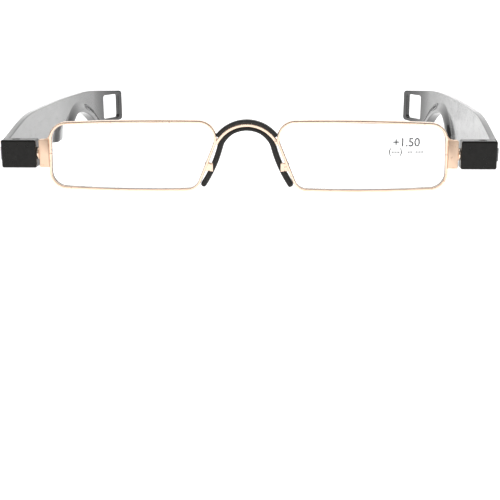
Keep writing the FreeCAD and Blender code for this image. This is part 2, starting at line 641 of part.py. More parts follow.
def make_leaf():
    """The right temple: knuckle, elbow, wide thin leaf, ear notch with its lip, window."""
    mid = size("axis_high")
    thick = size("leaf_thick")
    pin_x = size("pin_x")
    half = size("leaf_half")
    side = leaf_side()
    side.translate(vec(INSIDE, 0, 0))
    side = side.extrude(vec(ACROSS, 0, 0))
    tall = 2 * half + 4
    sheet_solid = leaf_plan(-thick / 2, thick / 2)
    sheet_solid.translate(vec(0, 0, mid - tall / 2))
    leaf = sheet_solid.extrude(vec(0, 0, tall)).common(side)
    # the ear notch, and the lip that stands in from its edge
    notch = arch_tool("notch")
    lip_tool = arch_tool("crease")
    lip = leaf_plan(-thick / 2 - size("lip_thick"), 0)
    lip.translate(vec(0, 0, mid - tall / 2))
    lip = lip.extrude(vec(0, 0, tall)).common(side).common(lip_tool)
    leaf = leaf.fuse(lip).cut(notch)
    # the window near the tip, cut square to the leaf there
    x, y, turn = leaf_stations()[-1]
    long = size("window_long")
    window = Part.makeBox(BEYOND, long, 2 * size("window_half"))
    window.translate(vec(-BEYOND / 2, -size("end_bar") - long, -size("window_half")))
    through = [e for e in window.Edges if abs(e.BoundBox.XLength - BEYOND) < CLOSE]
    window = window.makeFillet(size("window_corner"), through)
    window.rotate(vec(0, 0, 0), vec(0, 0, 1), turn - size("window_turn"))
    window.translate(vec(x, y, mid))
    leaf = leaf.cut(window)
    # the knuckle on the pin, and the elbow that carries it out and back to the leaf
    knuckle_high = size("knuckle_high")
    low = mid - knuckle_high / 2
    radius = size("knuckle_radius")
    outer = size("leaf_offset") + thick / 2
    barrel = Part.makeCylinder(radius, knuckle_high, vec(pin_x, 0, low))
    arm = Part.makeBox(outer, 2 * radius, knuckle_high, vec(pin_x, -radius, low))
    neck = Part.makeBox(thick, size("leaf_start") + radius + 0.1, knuckle_high,
                        vec(pin_x + outer - thick, -radius, low))
    elbow = barrel.fuse([arm, neck]).removeSplitter()
    corner = [e for e in elbow.Edges
              if abs(e.BoundBox.XMin - pin_x - outer) < CLOSE and e.BoundBox.XLength < CLOSE
              and e.BoundBox.YLength < CLOSE and abs(e.BoundBox.YMin + radius) < CLOSE]
    elbow = elbow.makeFillet(size("elbow_round"), corner)
    leaf = leaf.fuse(elbow)
    # grip ribs across the outer face beside the elbow
    rib_half = size("root_half") - size("rib_short")
    for n in range(3):
        y = size("leaf_start") + size("rib_first") + n * size("rib_pitch")
        rib_at = vec(pin_x + outer + size("rib_sink"), y, mid - rib_half)
        leaf = leaf.fuse(Part.makeCylinder(size("rib_wide") / 2, 2 * rib_half, rib_at))
    bore = Part.makeCylinder(size("pin_radius") + size("run_gap"), 2 * BEYOND,
                             vec(pin_x, 0, mid - BEYOND))
    return leaf.cut(bore).removeSplitter()


def make_clip():
    """The pen clip on the right temple: a riveted foot, and the springy tongue it carries."""
    mid = size("axis_high")
    face = size("leaf_thick") / 2
    thick = size("clip_thick")
    wide = size("clip_wide")
    start = size("leaf_start") + size("clip_start")
    foot_end = start + size("clip_foot")
    end = foot_end + size("clip_tongue")
    lift = size("clip_lift")

    def strip(low, high, y_from, y_to):
        plan = leaf_plan(low, high)
        plan.translate(vec(0, 0, mid - wide / 2))
        box = Part.makeBox(ACROSS, y_to - y_from, 2 * BEYOND, vec(INSIDE, y_from, mid - BEYOND))
        return plan.extrude(vec(0, 0, wide)).common(box)

    foot_low = face + size("clip_gap")
    foot = strip(foot_low, foot_low + thick, start, foot_end)
    radius = size("rivet_radius")
    rivet_y = start + size("clip_foot") * size("rivet_share")
    base_x = size("pin_x") + size("leaf_offset") + size("rivet_base")
    outward = vec(1, 0, 0)
    core = Part.makeCylinder(radius, ACROSS, vec(INSIDE, rivet_y, mid), outward)
    proud = foot.common(core).BoundBox.XMax
    shank = Part.makeCylinder(radius, proud - base_x, vec(base_x, rivet_y, mid), outward)
    head = Part.makeCylinder(size("rivet_head"), size("rivet_proud"), vec(proud, rivet_y, mid),
                             outward)
    face_edge = [e for e in head.Edges if e.BoundBox.XMin > proud + CLOSE]
    head = head.makeFillet(size("rivet_round"), face_edge)
    rivet = shank.fuse(head).removeSplitter()
    bend_end = foot_end + size("clip_bend")
    tongue = strip(face + lift, face + lift + thick, bend_end, end)
    # the bend that lifts the tongue off the leaf, and the bead at its free end
    low_x = foot.BoundBox.XMax
    split_y = foot_end + size("clip_split")
    inner_start = vec(low_x - thick + size("clip_bend_in"), split_y, 0)
    high_x = tongue.BoundBox.XMax
    bend = Part.Face(wire_of([
        inner_start, vec(low_x + size("clip_bend_out"), split_y, 0), vec(high_x, bend_end, 0),
        vec(high_x - thick, bend_end, 0), inner_start,
    ]))
    bend.translate(vec(0, 0, mid - wide / 2))
    tongue = tongue.fuse(bend.extrude(vec(0, 0, wide)))
    near_end = Part.makeBox(ACROSS, size("clip_end"), 2 * BEYOND,
                            vec(INSIDE, end - size("clip_end"), mid - BEYOND))
    bead_x = tongue.common(near_end).BoundBox.XMin + size("bead_in")
    bead = Part.makeCylinder(size("bead_radius"), wide,
                             vec(bead_x, end - size("bead_back"), mid - wide / 2))
    tongue = tongue.fuse(bead).removeSplitter()
    end_corners = [e for e in tongue.Edges
                   if abs(e.BoundBox.YMin - end) < CLOSE and e.BoundBox.ZLength < CLOSE]
    tongue = tongue.makeFillet(size("clip_end_round"), end_corners)
    return foot.cut(rivet), rivet, tongue


def make_temples():
    """Both temples, and the clip parts that only the right one carries."""
    leaf = make_leaf()
    foot, rivet, tongue = make_clip()
    feature("temple_right", leaf.cut(rivet))
    feature("temple_left", mirrored(leaf, -1))
    feature("pen_clip_foot", foot)
    feature("pen_clip_rivet", rivet)
    feature("pen_clip_tongue", tongue)


make_bridge()
make_saddle()
make_temples()
for side, name in ((1, "right"), (-1, "left")):
    make_rim(side, name)
    make_lens(side, name)
    make_end_tab(side, name)
    make_rim_lock(side, name)
    make_swivel(side, name)
    make_block(side, name)
    make_pin(side, name)

doc.recompute()
for item in doc.Objects:
    if "Invalid" in item.State or "Error" in item.State:
        raise RuntimeError(f"{item.Name} failed: {item.State}")
os.makedirs("parts", exist_ok=True)
for piece in pieces:
    shape = piece.Shape
    if shape.isNull() or not shape.isValid() or not shape.Solids:
        raise RuntimeError(f"{piece.Label} has no sound shape")
    print(f"{piece.Label:24s} solids {len(shape.Solids)}  volume {shape.Volume:9.2f}")
    shape.exportStep(f"parts/{piece.Label}.step")
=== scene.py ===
import math

import bmesh
import bpy
import numpy as np
from mathutils import Euler, Matrix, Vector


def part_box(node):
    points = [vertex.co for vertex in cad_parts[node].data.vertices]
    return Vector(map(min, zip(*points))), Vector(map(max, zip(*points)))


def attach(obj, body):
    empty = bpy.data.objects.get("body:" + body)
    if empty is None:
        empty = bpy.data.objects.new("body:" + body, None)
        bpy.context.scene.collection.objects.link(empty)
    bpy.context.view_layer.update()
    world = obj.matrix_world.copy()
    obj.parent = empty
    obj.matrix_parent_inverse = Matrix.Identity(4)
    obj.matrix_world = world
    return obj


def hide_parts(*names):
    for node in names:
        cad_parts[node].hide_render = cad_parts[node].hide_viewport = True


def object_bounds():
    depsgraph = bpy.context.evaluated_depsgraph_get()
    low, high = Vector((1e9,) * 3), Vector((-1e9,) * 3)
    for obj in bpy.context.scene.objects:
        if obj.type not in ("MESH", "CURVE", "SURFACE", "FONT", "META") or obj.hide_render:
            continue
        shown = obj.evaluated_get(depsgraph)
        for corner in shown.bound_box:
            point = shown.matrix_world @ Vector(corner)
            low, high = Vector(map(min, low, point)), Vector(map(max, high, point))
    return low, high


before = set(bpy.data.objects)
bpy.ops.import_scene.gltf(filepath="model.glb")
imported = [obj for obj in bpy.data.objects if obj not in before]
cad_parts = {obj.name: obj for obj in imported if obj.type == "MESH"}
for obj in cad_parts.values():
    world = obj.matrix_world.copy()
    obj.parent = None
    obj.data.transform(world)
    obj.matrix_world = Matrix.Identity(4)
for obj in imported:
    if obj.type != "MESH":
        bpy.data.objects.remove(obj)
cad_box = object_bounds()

# Rims. Two eyewires of grooved brass wire, drawn, bent to a bowed oblong and closed at a
# slit on the outer side; barrel polished and plated rose gold. Sizes here and below are in
# millimetres; right is +X as seen from the front, and the left side is its mirror image.

MM = 0.001
SIDES = ((1, "right"), (-1, "left"))
axis_z = 0.5
rim_middle = np.array([31.35, 0.0])
rim_corners = np.array([[55.1, -9.15], [54.6, 8.95], [5.9, 9.5], [13.7, -9.8]])
rim_corner_radii = np.array([4.8, 5.0, 5.0, 4.2])
rim_bow_top, rim_bow_low = 9.7, -10.0
rim_thick, rim_depth, rim_groove, rim_slit = 0.75, 2.0, 0.3, 0.2


class Value:
    """A number that varies over a surface. Sums on it add Math nodes to its finish."""

    def __init__(self, finish, socket):
        self.finish, self.socket = finish, socket

    def sum(self, operation, first, second):
        made = self.finish.node("ShaderNodeMath", {"operation": operation},
                                {0: first, 1: second})
        return Value(self.finish, made.outputs[0])

    def __add__(self, other):
        return self.sum("ADD", self, other)

    def __sub__(self, other):
        return self.sum("SUBTRACT", self, other)

    def __rsub__(self, other):
        return self.sum("SUBTRACT", other, self)

    def __mul__(self, other):
        return self.sum("MULTIPLY", self, other)

    def __truediv__(self, other):
        return self.sum("DIVIDE", self, other)

    def __pow__(self, other):
        return self.sum("POWER", self, other)

    def __abs__(self):
        return self.sum("ABSOLUTE", self, 0.0)

    __radd__, __rmul__ = __add__, __mul__

    def above(self, level, over=0.08):
        """0 below a level, 1 above it, with a soft step as wide as over."""
        made = self.finish.node(
            "ShaderNodeMapRange", {"interpolation_type": "SMOOTHSTEP"},
            {"Value": self, "From Min": level - over / 2, "From Max": level + over / 2})
        return Value(self.finish, made.outputs["Result"])


class Finish:
    """A material made of nodes round one Principled shader."""

    def __init__(self, name, constants):
        self.material = bpy.data.materials.new(name)
        self.material.use_nodes = True
        self.tree = self.material.node_tree
        self.shader = self.tree.nodes["Principled BSDF"]
        for socket, value in constants.items():
            self.shader.inputs[socket].default_value = value

    def node(self, kind, settings, sockets):
        """Any node: its settings first, then a value, a Value or an output for each socket."""
        made = self.tree.nodes.new(kind)
        for name, value in settings.items():
            setattr(made, name, value)
        for socket, value in sockets.items():
            self.feed(made.inputs[socket], value)
        return made

    def feed(self, socket, value):
        if isinstance(value, Value):
            value = value.socket
        if isinstance(value, bpy.types.NodeSocket):
            self.tree.links.new(value, socket)
        else:
            socket.default_value = value

    def noise(self, size, detail=3.0, stretch=(1, 1, 1)):
        """Noise whose lumps are about size mm across, longer along an axis with stretch."""
        place = self.node("ShaderNodeTexCoord", {}, {}).outputs["Object"]
        scale = [1 / (size * MM * s) for s in stretch]
        place = self.node("ShaderNodeMapping", {}, {"Vector": place, "Scale": scale})
        made = self.node("ShaderNodeTexNoise", {},
                         {"Vector": place.outputs[0], "Scale": 1.0, "Detail": detail})
        return Value(self, made.outputs[0])

    def place(self, axis):
        """One Object coordinate, in mm."""
        where = self.node("ShaderNodeTexCoord", {}, {}).outputs["Object"]
        parts = self.node("ShaderNodeSeparateXYZ", {}, {"Vector": where})
        return Value(self, parts.outputs[axis]) * (1 / MM)

    def blend(self, first, second, share):
        """A colour between two, by a Value."""
        ends = [(*c, 1.0) if isinstance(c, tuple) else c for c in (first, second)]
        made = self.node("ShaderNodeMix", {"data_type": "RGBA"},
                         {0: share, 6: ends[0], 7: ends[1]})
        return made.outputs[2]

    def wear(self, colour, roughness, height, depth):
        """Joins what varies to the shader; height stands depth microns tall as a bump."""
        self.feed(self.shader.inputs["Base Color"], colour)
        self.feed(self.shader.inputs["Roughness"], roughness)
        bump = self.node("ShaderNodeBump", {},
                         {"Height": height, "Distance": depth * 1e-6, "Strength": 1.0})
        self.feed(self.shader.inputs["Normal"], bump.outputs[0])


def rose_gold(name, light, deep, dull):
    """Pale rose-gold plate: faint cloudiness, fine drawing lines, a few dull specks."""
    made = Finish(name, {"Metallic": 1.0})
    cloud = made.noise(9.0, 2.0)
    fine = made.noise(0.35, 4.0)
    specks = made.noise(0.9, 3.0).above(0.66, 0.1)
    plate = made.blend(light, deep, cloud.above(0.5, 0.5))
    colour = made.blend(plate, (0.45, 0.27, 0.16), specks * 0.35)
    made.wear(colour, dull + cloud * 0.12 + specks * 0.18, fine * 0.6 + specks * 0.4, 7.0)
    return made


def eased(corners, cuts, steps=5):
    """A closed outline whose corners are cut back and rounded.

    Each corner c with neighbours p and n becomes (1-t)^2 a + 2t(1-t) c + t^2 b, where a and
    b lie a cut's length from c towards p and n.
    """
    corners = np.asarray(corners, float)
    cuts = np.broadcast_to(np.asarray(cuts, float), len(corners))[:, None]
    before = np.roll(corners, 1, axis=0) - corners
    after = np.roll(corners, -1, axis=0) - corners
    a = corners + cuts * before / np.linalg.norm(before, axis=1, keepdims=True)
    b = corners + cuts * after / np.linalg.norm(after, axis=1, keepdims=True)
    t = np.linspace(0, 1, steps)[None, :, None]
    curve = (1 - t) ** 2 * a[:, None] + 2 * t * (1 - t) * corners[:, None] + t**2 * b[:, None]
    return curve.reshape(-1, 2)


def oblong(long, tall, cut):
    """A rounded oblong about the origin."""
    half = np.array([long, tall]) / 2
    return eased(half * [[-1, -1], [1, -1], [1, 1], [-1, 1]], cut)


def skin(grid, ring=True, loop=False, caps=True):
    """Quads over a grid of points: rows along a path, columns round or across a section."""
    rows, columns = grid.shape[:2]
    number = np.arange(rows * columns).reshape(rows, columns)
    if ring:
        number = np.hstack([number, number[:, :1]])
    if loop:
        number = np.vstack([number, number[:1]])
    quads = np.stack([number[:-1, :-1], number[:-1, 1:], number[1:, 1:], number[1:, :-1]], -1)
    faces = quads.reshape(-1, 4).tolist()
    if caps and ring and not loop:
        faces += [list(range(columns))[::-1], list(range((rows - 1) * columns, rows * columns))]
    return grid.reshape(-1, 3), faces


def carried(path, across, up, section):
    """A section carried along a path: path + across * u + up * v for each (u, v) of it."""
    section = np.broadcast_to(section, (len(path), *np.shape(section)[-2:]))
    return (path[:, None] + across[:, None] * section[..., :1]
            + up[:, None] * section[..., 1:])


def piece(name, skins, finish, body, nodes=(), side=1, crisp=35):
    points, faces, first = [], [], 0
    for vertices, polygons in skins:
        points.append(vertices)
        faces += [[n + first for n in polygon] for polygon in polygons]
        first += len(vertices)
    points = np.vstack(points) * [side * MM, MM, MM]
    mesh = bpy.data.meshes.new(name)
    mesh.from_pydata(points.tolist(), [], faces)
    work = bmesh.new()
    work.from_mesh(mesh)
    bmesh.ops.remove_doubles(work, verts=work.verts, dist=1e-7)
    bmesh.ops.recalc_face_normals(work, faces=work.faces)
    work.to_mesh(mesh)
    work.free()
    mesh.shade_smooth()
    mesh.set_sharp_from_angle(angle=math.radians(crisp))
    mesh.materials.append(finish.material)
    made = bpy.data.objects.new(name, mesh)
    bpy.context.scene.collection.objects.link(made)
    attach(made, body)
    if nodes:
        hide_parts(*nodes)
    return made


def circle_through(a, middle, b):
    """Centre and radius of the circle through three points."""
    rows = 2 * np.array([middle - a, b - a])
    centre = np.linalg.solve(rows, [middle @ middle - a @ a, b @ b - a @ a])
    return centre, np.linalg.norm(a - centre)


def rim_outline():
    """The right rim's outer edge in XZ and its outward normals, from the slit round to it.

    Nose and outer sides are straight lines and top and bottom are circles through a middle
    point. A corner of radius r is centred where the line and the circle, both moved in by r,
    cross: centre = C + u t + w n, with w = (a - C).n - r and u^2 = (R - r)^2 - w^2.
    """
    low_outer, top_outer, top_nose, low_nose = rim_corners
    top = circle_through(top_outer, np.array([rim_middle[0], rim_bow_top]), top_nose)
    low = circle_through(low_nose, np.array([rim_middle[0], rim_bow_low]), low_outer)

    def corner(at, along, bow, radius):
        along = along / np.linalg.norm(along)
        out = np.array([along[1], -along[0]])
        centre, big = bow
        w = (at - centre) @ out - radius
        u = math.sqrt((big - radius) ** 2 - w**2)
        u *= math.copysign(1, (at - centre) @ along)
        middle = centre + u * along + w * out
        bow_out = (middle - centre) / np.linalg.norm(middle - centre)
        return middle, radius, out, bow_out

    up, down = top_outer - low_outer, low_nose - top_nose
    radii = rim_corner_radii
    ends = [corner(top_outer, up, top, radii[1]), corner(top_nose, down, top, radii[2]),
            corner(low_nose, down, low, radii[3]), corner(low_outer, up, low, radii[0])]

    def turn(centre, radius, start, end, count):
        first, last = (math.atan2(v[1], v[0]) for v in (start, end))
        last = first + (last - first + math.pi) % (2 * math.pi) - math.pi
        angle = np.linspace(first, last, count)[:, None]
        out = np.hstack([np.cos(angle), np.sin(angle)])
        return centre + radius * out, out

    def straight(a, b, out, count):
        t = np.linspace(0, 1, count)[:, None]
        return a + t * (b - a), np.broadcast_to(out, (count, 2))

    def touch(corner_at, out):
        return corner_at[0] + corner_at[1] * out

    (c1, r1, line1, bow1), (c2, r2, line2, bow2) = ends[:2]
    (c3, r3, line3, bow3), (c4, r4, line4, bow4) = ends[2:]
    upper, lower = touch(ends[0], line1), touch(ends[3], line4)
    share = (axis_z + np.array([1, -1]) * rim_slit / 2 - lower[1]) / (upper[1] - lower[1])
    slit_top, slit_low = lower + share[:, None] * (upper - lower)
    runs = [
        straight(slit_top, upper, line1, 8), turn(c1, r1, line1, bow1, 16),
        turn(*top, bow1, bow2, 40), turn(c2, r2, bow2, line2, 16),
        straight(touch(ends[1], line2), touch(ends[2], line3), line2, 16),
        turn(c3, r3, line3, bow3, 16), turn(*low, bow3, bow4, 40),
        turn(c4, r4, bow4, line4, 16), straight(lower, slit_low, line4, 8),
    ]
    points, normals = (np.vstack(parts) for parts in zip(*runs))
    fresh = np.r_[True, np.linalg.norm(np.diff(points, axis=0), axis=1) > 1e-6]
    return points[fresh], normals[fresh]


def in_xz(points):
    """Points (x, z) as points (x, 0, z)."""
    return np.stack([points[:, 0], np.zeros(len(points)), points[:, 1]], 1)


gold = rose_gold("rose_gold_plate", (0.98, 0.80, 0.65), (0.94, 0.71, 0.55), 0.13)
rim_edge, rim_out = rim_outline()
rim_half = rim_depth / 2
groove_half = 0.4
groove_floor = groove_half * 0.5
back_ease, front_ease, groove_ease = 0.34, 0.2, 0.05
rim_section = eased(
    [[0, -rim_half], [rim_thick, -rim_half], [rim_thick, -groove_half],
     [rim_thick - rim_groove, -groove_floor], [rim_thick - rim_groove, groove_floor],
     [rim_thick, groove_half], [rim_thick, rim_half], [0, rim_half]],
    [back_ease, front_ease] + [groove_ease] * 4 + [front_ease, back_ease])
rim_grid = carried(in_xz(rim_edge), -in_xz(rim_out),
                   np.broadcast_to([0.0, 1.0, 0.0], (len(rim_edge), 3)), rim_section)
for side, name in SIDES:
    piece(f"rim_{name}_wire", [skin(rim_grid)], gold, "front",
          [f"rim_{name}"], side, crisp=60)

# Bridge. A flat gold wire bent over the nose and brazed at both ends into the nose sides of
# the rims, a little below their top corners; polished with the rims.

arch_z = -1.0
wire_low, wire_high, wire_half, wire_turn = 8.85, 9.9, 0.8, 64.0


def arch(radius, turn, count=64):
    """Points on a circle over the nose from -turn to turn degrees, and outward directions."""
    angle = np.radians(np.linspace(-turn, turn, count))
    out = np.stack([np.sin(angle), np.zeros(count), np.cos(angle)], 1)
    return radius * out + [0, 0, arch_z], out


middle, out = arch((wire_low + wire_high) / 2, wire_turn)
back = np.broadcast_to([0.0, 1.0, 0.0], out.shape)
section = oblong(wire_high - wire_low, 2 * wire_half, 0.3)
piece("bridge_flat_wire", [skin(carried(middle, out, back, section))], gold, "front",
      ["bridge_wire"], crisp=60)

# End tabs. Flat brass tabs brazed to the outer sides of the rims, with a web that curves up
# to the rim; each carries the swivel screw. Plated like the rims, but left satin.

tab_inner, tab_outer, tab_half, tab_deep = 54.65, 57.5, 3.8, 1.3
web_deep, web_top, web_reach = 0.9, 1.7, 1.9


def prism(outline, low, high, soft, plane="xz"):
    """An outline thickened from low to high, its edges rounded by soft.

    Rows follow a quarter circle: the outline moves in along its normals by soft (1 - sin a)
    while the height moves by soft (1 - cos a).
    """
    ahead, behind = np.roll(outline, -1, axis=0), np.roll(outline, 1, axis=0)
    along = ahead - behind
    along /= np.linalg.norm(along, axis=1, keepdims=True)
    area = np.sum(outline[:, 0] * ahead[:, 1] - ahead[:, 0] * outline[:, 1])
    inward = np.sign(area) * np.stack([-along[:, 1], along[:, 0]], 1)
    a = np.radians(np.array([0, 22.5, 45, 67.5, 90]))
    inset = soft * (1 - np.sin(a))
    height = soft * (1 - np.cos(a))
    inset = np.r_[inset, inset[::-1]]
    height = np.r_[low + height, high - height[::-1]]
    flat = outline + inset[:, None, None] * inward
    tall = np.broadcast_to(height[:, None, None], (*flat.shape[:2], 1))
    if plane == "xz":
        return np.concatenate([flat[..., :1], tall, flat[..., 1:]], -1)
    return np.concatenate([flat, tall], -1)


tab_gold = rose_gold("satin_gold_plate", (0.94, 0.70, 0.53), (0.90, 0.64, 0.47), 0.36)
tab_low, tab_top = axis_z - tab_half, axis_z + tab_half
tab_outline = eased([[tab_inner, tab_low], [tab_outer, tab_low], [tab_outer, tab_top],
                     [tab_inner, tab_top]], [0.1, 0.35, 0.35, 0.1])
t = np.linspace(0, 1, 12)[:, None]
web_foot = np.array([tab_inner + web_reach, tab_top])
web_head = np.array([tab_inner - 0.35, tab_top + web_top])
web_bend = np.array([tab_inner + 0.25, tab_top + 0.1])
web_curve = (1 - t) ** 2 * web_foot + 2 * t * (1 - t) * web_bend + t**2 * web_head
web_outline = np.vstack([web_curve, [[tab_inner - 0.45, tab_top + web_top - 0.2],
                                     [tab_inner - 0.2, tab_top - 0.5],
                                     [tab_inner + web_reach, tab_top - 0.5]]])
for side, name in SIDES:
    piece(f"end_tab_{name}_plate",
          [skin(prism(tab_outline, -tab_deep, tab_deep, 0.16)),
           skin(prism(web_outline, -web_deep, web_deep, 0.08))],
          tab_gold, "front", [f"end_tab_{name}"], side)

# Rim locks. Behind each tab two little turned barrels sit one each side of the rim's slit,
# and a steel screw draws them together round the lens.

lock_x, lock_y, lock_radius, lock_bore, lock_long = 55.3, 2.25, 0.95, 0.5, 2.9
AXES = {"x": np.eye(3)[[0, 1, 2]], "z": np.eye(3)[[2, 0, 1]]}


def turned(profile, centre, axis, count=48):
    """A lathe-turned part: profile rows (along, radius) spun round an axis through centre."""
    ahead, e1, e2 = AXES[axis]
    angle = np.linspace(0, 2 * math.pi, count, endpoint=False)
    spoke = np.cos(angle)[:, None] * e1 + np.sin(angle)[:, None] * e2
    profile = np.asarray(profile, float)
    return (np.asarray(centre, float) + profile[:, None, :1] * ahead
            + profile[:, None, 1:] * spoke)


def steel():
    """Dull brushed steel: fine turning lines, darker where oil and dust have settled."""
    made = Finish("brushed_steel", {"Metallic": 1.0})
    lines = made.noise(0.12, 2.0, (1, 1, 9))
    grime = made.noise(0.8, 4.0)
    colour = made.blend((0.50, 0.49, 0.47), (0.20, 0.19, 0.18), grime.above(0.55, 0.3))
    made.wear(colour, 0.25 + lines * 0.2 + grime * 0.15, lines, 5.0)
    return made


def chamfered_ring(low, high, inner, outer, cut):
    """Profile of a ring with a rounded outer edge at both ends and a bore."""
    return [(low, inner), (low, outer - cut), (low + 0.3 * cut, outer - 0.3 * cut),
            (low + cut, outer), (high - cut, outer), (high - 0.3 * cut, outer - 0.3 * cut),
            (high, outer - cut), (high, inner)]


screw_steel = steel()
for side, name in SIDES:
    for place, low in (("upper", axis_z + rim_slit / 2),
                       ("lower", axis_z - rim_slit / 2 - lock_long)):
        ring = chamfered_ring(low, low + lock_long, lock_bore, lock_radius, 0.16)
        grid = turned(ring, (lock_x, lock_y, 0), "z")
        piece(f"rim_lock_{place}_{name}_barrel", [skin(grid, loop=True)], gold, "front",
              [f"rim_lock_{place}_{name}"], side)
    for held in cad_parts[f"rim_screw_{name}"].material_slots:
        held.material = screw_steel.material

# Lenses. Hard-coated resin reading lenses, convex in front and flat behind, edged with a
# tongue that snaps into the rim's groove. The right one keeps its faint printed power mark.

lens_front, lens_back, lens_ball = -1.1, 1.1, 230.0
lens_inset, tongue_inset, tongue_half = 0.80, 0.50, 0.35
print_height, print_line, print_x, print_z, print_drop = 2.35, 1.7, 43.4, 2.75, 2.1
letter_size, letter_bold, print_proud = 1.38, 0.035, 0.03


def clear_lens():
    """Clear resin with a hard coat: almost colourless, with faint wiping smears."""
    made = Finish("clear_resin", {"Transmission Weight": 1.0, "IOR": 1.5,
                                  "Specular IOR Level": 0.5})
    smear = made.noise(6.0, 4.0, (3, 1, 1))
    dust = made.noise(0.5, 2.0).above(0.74, 0.05)
    colour = made.blend((0.995, 0.998, 0.998), (0.97, 0.98, 0.985), smear.above(0.55, 0.3))
    made.wear(colour, smear.above(0.62, 0.3) * 0.02 + dust * 0.05, smear, 1.0)
    return made


def lens_face(x, z):
    """Depth of the front face: a sphere of the lens's radius about the lens's middle."""
    reach = (x - rim_middle[0]) ** 2 + (z - rim_middle[1]) ** 2
    return lens_front + lens_ball - np.sqrt(lens_ball**2 - reach)


def lens_rings():
    """Closed rings from the middle of the front out over the tongue to the back's middle."""
    rim_points = rim_edge - lens_inset * rim_out
    tongue = rim_edge - tongue_inset * rim_out
    edge_y = lens_face(*rim_points.T)
    low = np.maximum(edge_y + 0.05, -tongue_half)
    high = np.maximum(low + 0.25, tongue_half)
    shares = np.linspace(0, 1, 16)[:, None, None]
    face = rim_middle + shares * (rim_points - rim_middle)
    rows = [np.stack([ring[:, 0], lens_face(*ring.T), ring[:, 1]], 1) for ring in face]
    steps = ((rim_points, low), (tongue, low), (tongue, high), (rim_points, high))
    rows += [np.stack([p[:, 0], y, p[:, 1]], 1) for p, y in steps]
    flat = np.full(len(rim_points), lens_back)
    rows += [np.stack([ring[:, 0], flat, ring[:, 1]], 1) for ring in face[::-1]]
    return np.stack(rows)


resin = clear_lens()
for side, name in SIDES:
    piece(f"lens_{name}_resin", [skin(lens_rings(), caps=False)], resin, "front",
          [f"lens_{name}"], side, crisp=25)


def print_ink():
    """Thin grey printing, broken up where it has begun to wear away."""
    made = Finish("lens_print", {"Specular IOR Level": 0.2})
    gaps = made.noise(0.25, 3.0).above(0.62, 0.1)
    made.feed(made.shader.inputs["Alpha"], 0.95 - gaps * 0.4)
    colour = made.blend((0.04, 0.04, 0.045), (0.15, 0.15, 0.15), gaps)
    made.wear(colour, 0.6 + gaps * 0.2, gaps, 1.0)
    return made


ink = print_ink()
for label, words, tall, low in (("power", "+1.50", print_height, print_z),
                                ("ticks", "(---)  -- ---", print_line, print_z - print_drop)):
    text = bpy.data.curves.new(f"{label}_text", "FONT")
    text.body, text.size, text.align_x = words, tall * letter_size, "CENTER"
    text.offset = letter_bold
    carrier = bpy.data.objects.new(f"{label}_text", text)
    flat = bpy.data.meshes.new_from_object(carrier)
    spots = np.empty(len(flat.vertices) * 3)
    flat.vertices.foreach_get("co", spots)
    spots = spots.reshape(-1, 3)
    x, z = print_x + spots[:, 0], low + spots[:, 1]
    spots = np.stack([x, lens_face(x, z) - print_proud, z], 1) * MM
    flat.vertices.foreach_set("co", spots.ravel())
    flat.materials.clear()
    flat.materials.append(ink.material)
    mark = bpy.data.objects.new(f"lens_{label}_mark", flat)
    bpy.context.scene.collection.objects.link(mark)
    bpy.data.objects.remove(carrier)
    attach(mark, "front")

# Bridge cover and nose saddle. A hard black strip is cemented over the bridge wire, and a
# soft black saddle under it, whose two splayed legs rest on the nose and are tied to the
# rims by small gold tabs.

cover_high, cover_half, cover_turn = 10.85, 1.2, 52.0
saddle_radius, saddle_band, saddle_front, saddle_back = 8.32, 1.0, -0.9, 2.7
leg_wide, leg_bend = 1.6, 0.6
lap_y, lap_thick, lap_reach, lap_run, lap_rows = -1.15, 0.4, 0.35, 1.6, 16
band_until, band_change, foot_thin = 3.5, 4.0, 0.45
hip, foot = np.array([7.1, 3.4]), np.array([12.1, -7.9])


def soft_black():
    """Soft black moulding: an even fine grain, rubbed a little smoother in patches."""
    made = Finish("soft_black", {"IOR": 1.48, "Specular IOR Level": 0.3})
    grain = made.noise(0.18, 3.0)
    rubbed = made.noise(2.6, 3.0).above(0.5, 0.3)
    colour = made.blend((0.020, 0.019, 0.018), (0.036, 0.034, 0.031), grain.above(0.55, 0.3))
    made.wear(colour, 0.50 - rubbed * 0.16 + grain * 0.08, grain, 14.0)
    return made


def clear_of_rim(grid, gap=0.03):
    """Moves points that lie inside a rim's outline out to its edge, along its normal."""
    flat = np.abs(grid[..., [0]])[..., 0], grid[..., 2]
    points = np.stack(flat, -1)[..., None, :]
    nearest = np.argmin(np.sum((points - rim_edge) ** 2, -1), -1)
    edge, normal = rim_edge[nearest], rim_out[nearest]
    inside = np.sum((points[..., 0, :] - edge) * normal, -1) < gap
    close = np.where(inside[..., None], edge + gap * normal, points[..., 0, :])
    side = np.where(grid[..., 0] < 0, -1, 1)
    return np.stack([side * close[..., 0], grid[..., 1], close[..., 1]], -1)


def saddle_path():
    """The saddle's middle line from the left foot over the nose to the right foot.

    An arch of one radius runs into legs that are chords bowed towards the nose by
    bend * 4t(1-t); a moving average then eases the change between them.
    """
    t = np.linspace(0, 1, 90)[:, None]
    leg_along = (foot - hip) / np.linalg.norm(foot - hip)
    toe = foot + leg_along * leg_wide / 2
    inward = np.array([leg_along[1], -leg_along[0]])
    leg = hip + t * (toe - hip) + leg_bend * 4 * t * (1 - t) * inward
    turn = math.asin(hip[0] / saddle_radius)
    angle = np.linspace(0, turn, 90)[:, None]
    over = saddle_radius * np.hstack([np.sin(angle), np.cos(angle)]) + [0, arch_z]
    half = np.vstack([over[:-1], leg])
    line = np.vstack([half[:0:-1] * [-1, 1], half])
    window = np.hanning(23)[1:-1]
    window /= window.sum()
    reach = len(window) // 2
    padded = np.pad(line, ((reach, reach), (0, 0)), "reflect", reflect_type="odd")
    return np.stack([np.convolve(padded[:, n], window, "valid") for n in (0, 1)], 1)


